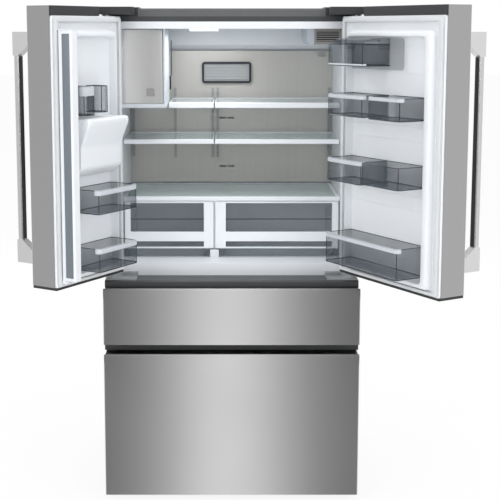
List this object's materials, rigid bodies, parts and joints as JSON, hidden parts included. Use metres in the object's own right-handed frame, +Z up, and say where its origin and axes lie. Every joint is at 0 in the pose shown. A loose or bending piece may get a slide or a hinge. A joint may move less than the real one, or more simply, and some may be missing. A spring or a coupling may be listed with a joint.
{
  "type": "french door refrigerator",
  "caption": "Tall refrigerator with swinging upper doors over pull-out drawers, door bins, glass shelves, crispers and an ice maker.",
  "frame": {"origin": "on the floor, under the centre of the case's footprint (doors and drawer fronts stand out in front of the case)", "axes": "+X to the right as seen from the front, +Y to the back, +Z up; doors are modelled open, drawers shut"},
  "size_m": [1.5275, 1.1436, 1.778],
  "materials": {
    "case_paint": "satin paint",
    "foam": "foam",
    "liner_white": "satin",
    "rail_grey": "satin paint",
    "top_grey": "matte",
    "hinge_steel": "zinc",
    "grille_grey": "matte",
    "base_steel": "satin paint",
    "foot_black": "matte",
    "compressor_black": "gloss paint",
    "condenser_metal": "satin paint",
    "cover_galvanised": "galvanised",
    "valve_body": "matte",
    "coil_aluminium": "satin",
    "duct_metallic": "brushed",
    "lens": "frosted",
    "filter_taupe": "satin",
    "cover_light": "satin",
    "ice_white": "satin",
    "clear_bin": "clear",
    "track_grey": "satin paint",
    "shelf_white": "satin",
    "shelf_glass": "clear",
    "slide_zinc": "zinc",
    "roller_plastic": "matte",
    "fan_black": "satin",
    "fan_white": "satin",
    "ice_door_grey": "satin",
    "latch_grey": "satin",
    "auger_steel": "brushed",
    "crisper_smoke": "clear smoke",
    "door_steel": "brushed",
    "gasket_white": "matte",
    "handle_steel": "brushed",
    "alcove_black": "gloss",
    "paddle_grey": "satin",
    "tray_grey": "satin",
    "bin_smoke": "clear smoke",
    "drawer_bin": "frosted"
  },
  "bodies": {
    "cabinet": {"outer_case": "case_paint", "insulation": "foam", "fridge_liner": "liner_white", "drawer_liners": "liner_white", "divider_rails": "rail_grey", "top_covers": "top_grey", "door_hinges": "hinge_steel", "toe_grille": "grille_grey", "base_frame": "base_steel", "levelling_feet": "foot_black", "compressor": "compressor_black", "condenser": "condenser_metal", "machine_cover": "cover_galvanised", "water_valve": "valve_body", "evaporator": "coil_aluminium", "duct_panels": "duct_metallic", "ceiling_light": "lens", "filter_housing": "filter_taupe", "air_filter_cover": "cover_light", "ice_box": "ice_white", "ice_bin": "clear_bin", "shelf_tracks": "track_grey", "shelf_frames": "shelf_white", "shelf_panes": "shelf_glass", "crisper_cover": "shelf_white", "drawer_rails": "slide_zinc"},
    "rear_rollers": {"rear_rollers": "roller_plastic"},
    "condenser_fan": {"condenser_fan": "fan_black"},
    "evaporator_fan": {"evaporator_fan": "fan_white"},
    "ice_auger": {"ice_auger": "auger_steel"},
    "ice_door": {"ice_box_door": "ice_door_grey"},
    "ice_latch": {"ice_latch": "latch_grey"},
    "crisper_left": {"crisper_left": "crisper_smoke"},
    "crisper_right": {"crisper_right": "crisper_smoke"},
    "left_door": {"left_door_shell": "door_steel", "left_door_liner": "liner_white", "left_door_gasket": "gasket_white", "left_handle": "handle_steel", "dispenser_alcove": "alcove_black", "left_door_bins": "bin_smoke"},
    "flipper": {"flipper_mullion": "liner_white"},
    "dispenser_paddle": {"dispenser_paddle": "paddle_grey"},
    "drip_tray": {"drip_tray": "tray_grey"},
    "right_door": {"right_door_shell": "door_steel", "right_door_liner": "liner_white", "right_door_gasket": "gasket_white", "right_handle": "handle_steel", "right_door_bins": "bin_smoke"},
    "dairy_lid": {"dairy_lid": "bin_smoke"},
    "flex_drawer": {"flex_front": "door_steel", "flex_gasket": "gasket_white", "flex_bin": "drawer_bin", "flex_frame": "liner_white"},
    "flex_mid": {"flex_mid_slides": "slide_zinc"},
    "freezer_drawer": {"freezer_front": "door_steel", "freezer_gasket": "gasket_white", "freezer_basket": "drawer_bin", "freezer_frame": "liner_white"},
    "freezer_mid": {"freezer_mid_slides": "slide_zinc"},
    "freezer_tray": {"freezer_tray": "drawer_bin"}
  },
  "joints": [
    {"name": "rear_roller_spin", "type": "hinge", "parent": "cabinet", "child": "rear_rollers", "pos_m": [0, 0.27, 0.018], "axis": [1, 0, 0], "continuous": true},
    {"name": "condenser_fan_spin", "type": "hinge", "parent": "cabinet", "child": "condenser_fan", "pos_m": [-0.11, 0.185, 0.145], "axis": [1, 0, 0], "continuous": true},
    {"name": "evaporator_fan_spin", "type": "hinge", "parent": "cabinet", "child": "evaporator_fan", "pos_m": [0, 0.17, 0.488], "axis": [0, 1, 0], "continuous": true},
    {"name": "ice_auger_spin", "type": "hinge", "parent": "cabinet", "child": "ice_auger", "pos_m": [-0.321, 0, 1.472], "axis": [0, 1, 0], "continuous": true},
    {"name": "ice_door_hinge", "type": "hinge", "parent": "cabinet", "child": "ice_door", "pos_m": [-0.396, -0.242, 1.567], "axis": [0, 0, -1], "range_deg": [0, 78]},
    {"name": "ice_latch_press", "type": "slide", "parent": "ice_door", "child": "ice_latch", "axis": [0, 1, 0], "range_m": [0, 0.003], "stiffness_N_per_m": 300},
    {"name": "crisper_left_slide", "type": "slide", "parent": "cabinet", "child": "crisper_left", "axis": [0, -1, 0], "range_m": [0, 0.18]},
    {"name": "crisper_right_slide", "type": "slide", "parent": "cabinet", "child": "crisper_right", "axis": [0, -1, 0], "range_m": [0, 0.18]},
    {"name": "left_door_hinge", "type": "hinge", "parent": "cabinet", "child": "left_door", "pos_m": [-0.438, -0.365, 1.3], "axis": [0, 0, -1], "range_deg": [-121.6, 0]},
    {"name": "flipper_hinge", "type": "hinge", "parent": "left_door", "child": "flipper", "pos_m": [-0.54779, -0.68373, 1.288], "axis": [0, 0, 1], "range_deg": [-90.5, 0]},
    {"name": "paddle_hinge", "type": "hinge", "parent": "left_door", "child": "dispenser_paddle", "pos_m": [-0.52243, -0.50796, 1.35], "axis": [-0.524, -0.8517, 0], "range_deg": [0, 5], "stiffness_Nm_per_rad": 0.6},
    {"name": "drip_tray_slide", "type": "slide", "parent": "left_door", "child": "drip_tray", "axis": [-0.8517, 0.524, 0], "range_m": [0, 0.06]},
    {"name": "right_door_hinge", "type": "hinge", "parent": "cabinet", "child": "right_door", "pos_m": [0.438, -0.365, 1.3], "axis": [0, 0, 1], "range_deg": [-120.4, 0]},
    {"name": "dairy_lid_hinge", "type": "hinge", "parent": "right_door", "child": "dairy_lid", "pos_m": [0.43604, -0.52963, 1.665], "axis": [-0.506, 0.8625, 0], "range_deg": [0, 60]},
    {"name": "flex_drawer_slide", "type": "slide", "parent": "cabinet", "child": "flex_drawer", "axis": [0, -1, 0], "range_m": [0, 0.38]},
    {"name": "flex_mid_slide", "type": "slide", "parent": "cabinet", "child": "flex_mid", "axis": [0, -1, 0], "range_m": [0, 0.19]},
    {"name": "freezer_drawer_slide", "type": "slide", "parent": "cabinet", "child": "freezer_drawer", "axis": [0, -1, 0], "range_m": [0, 0.38]},
    {"name": "freezer_mid_slide", "type": "slide", "parent": "cabinet", "child": "freezer_mid", "axis": [0, -1, 0], "range_m": [0, 0.19]},
    {"name": "freezer_tray_slide", "type": "slide", "parent": "freezer_drawer", "child": "freezer_tray", "axis": [0, 1, 0], "range_m": [0, 0.14]}
  ],
  "couplings": [
    {"joint": "flipper_hinge", "follows": "left_door_hinge", "ratio": 0.7401},
    {"joint": "flex_mid_slide", "follows": "flex_drawer_slide", "ratio": 0.5},
    {"joint": "freezer_mid_slide", "follows": "freezer_drawer_slide", "ratio": 0.5}
  ]
}
